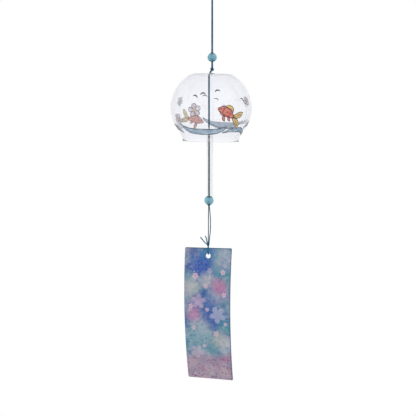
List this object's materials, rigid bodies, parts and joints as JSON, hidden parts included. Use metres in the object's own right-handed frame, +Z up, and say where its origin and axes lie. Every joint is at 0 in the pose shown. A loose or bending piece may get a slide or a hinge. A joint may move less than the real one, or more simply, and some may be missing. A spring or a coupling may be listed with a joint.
{
  "type": "furin wind bell",
  "caption": "Clear painted glass bell on a knotted cord with glass beads, a glass tube clapper and a curved paper strip that catches the wind.",
  "frame": {"origin": "inside the top of the hanging loop, where the loop bears on its hook", "axes": "+Z up along the hanging cord, +X to the right of the pictured front, +Y away from it"},
  "size_m": [0.0796, 0.0796, 0.4087],
  "materials": {
    "cord": "waxed",
    "bead_glass": "crackled",
    "bell_glass": "clear",
    "tube_glass": "clear",
    "clear_plastic": "clear",
    "strip_paper": "printed"
  },
  "bodies": {
    "hook_loop": {"hanging_loop": "cord", "loop_knot": "cord"},
    "upper_cord": {"upper_strand_left": "cord", "upper_strand_right": "cord", "upper_bead_top_knot": "cord"},
    "crown": {"bead_strand_left": "cord", "bead_strand_right": "cord", "upper_bead_bottom_knot": "cord", "crown_strand_left": "cord", "crown_strand_right": "cord", "crown_knot": "cord"},
    "upper_bead": {"upper_bead": "bead_glass"},
    "stopper": {"throat_strand_left": "cord", "throat_strand_right": "cord", "inner_stopper": "clear_plastic"},
    "bell": {"glass_bell": "bell_glass"},
    "clapper": {"inner_strand_left": "cord", "inner_strand_right": "cord"},
    "tube": {"glass_tube": "tube_glass"},
    "lower_bead": {"lower_bead": "bead_glass"},
    "lower_knot": {"lower_bead_knot": "cord"},
    "strands": {"strip_strand_left": "cord", "strip_strand_right": "cord", "tie_knot": "cord", "tail_left": "cord", "tail_right": "cord"},
    "tie_loop": {"strip_loop": "cord"},
    "strip": {"paper_strip": "strip_paper"}
  },
  "joints": [
    {"name": "cord_swing", "type": "hinge", "parent": "hook_loop", "child": "upper_cord", "pos_m": [0, 0, -0.027], "axis": [0, 1, 0], "range_deg": [-30, 30]},
    {"name": "bead_sway", "type": "hinge", "parent": "upper_cord", "child": "crown", "pos_m": [0, 0, -0.08495], "axis": [1, 0, 0], "range_deg": [-20, 20]},
    {"name": "upper_bead_turn", "type": "hinge", "parent": "crown", "child": "upper_bead", "pos_m": [0, 0, -0.08931], "axis": [0, 0, 1], "continuous": true},
    {"name": "bell_rock", "type": "hinge", "parent": "crown", "child": "stopper", "pos_m": [0, 0, -0.10101], "axis": [0, 1, 0], "range_deg": [-15, 15]},
    {"name": "bell_turn", "type": "hinge", "parent": "stopper", "child": "bell", "pos_m": [-0.0004, 0, -0.10461], "axis": [0.0175, 0, 0.9998], "continuous": true},
    {"name": "clapper_swing", "type": "hinge", "parent": "stopper", "child": "clapper", "pos_m": [-0.0031, 0, -0.10846], "axis": [0, 1, 0], "range_deg": [-19.5, 19]},
    {"name": "tube_slide", "type": "slide", "parent": "clapper", "child": "tube", "axis": [0, 0, 1], "range_m": [0, 0.048]},
    {"name": "lower_bead_turn", "type": "hinge", "parent": "clapper", "child": "lower_bead", "pos_m": [-0.0031, 0, -0.22941], "axis": [0, 0, 1], "continuous": true},
    {"name": "strip_turn", "type": "hinge", "parent": "clapper", "child": "lower_knot", "pos_m": [-0.0031, 0, -0.23377], "axis": [0, 0, 1], "continuous": true},
    {"name": "strand_sway", "type": "hinge", "parent": "lower_knot", "child": "strands", "pos_m": [-0.0031, 0, -0.23377], "axis": [1, 0, 0], "range_deg": [-40, 40]},
    {"name": "strip_flap", "type": "hinge", "parent": "strands", "child": "tie_loop", "pos_m": [-0.00394, 0, -0.27367], "axis": [0.9403, -0.3404, 0], "range_deg": [-40, 40]},
    {"name": "strip_tilt", "type": "hinge", "parent": "tie_loop", "child": "strip", "pos_m": [-0.00378, -0.00131, -0.2827], "axis": [0.3375, 0.9324, -0.1293], "range_deg": [-18, 18]}
  ]
}
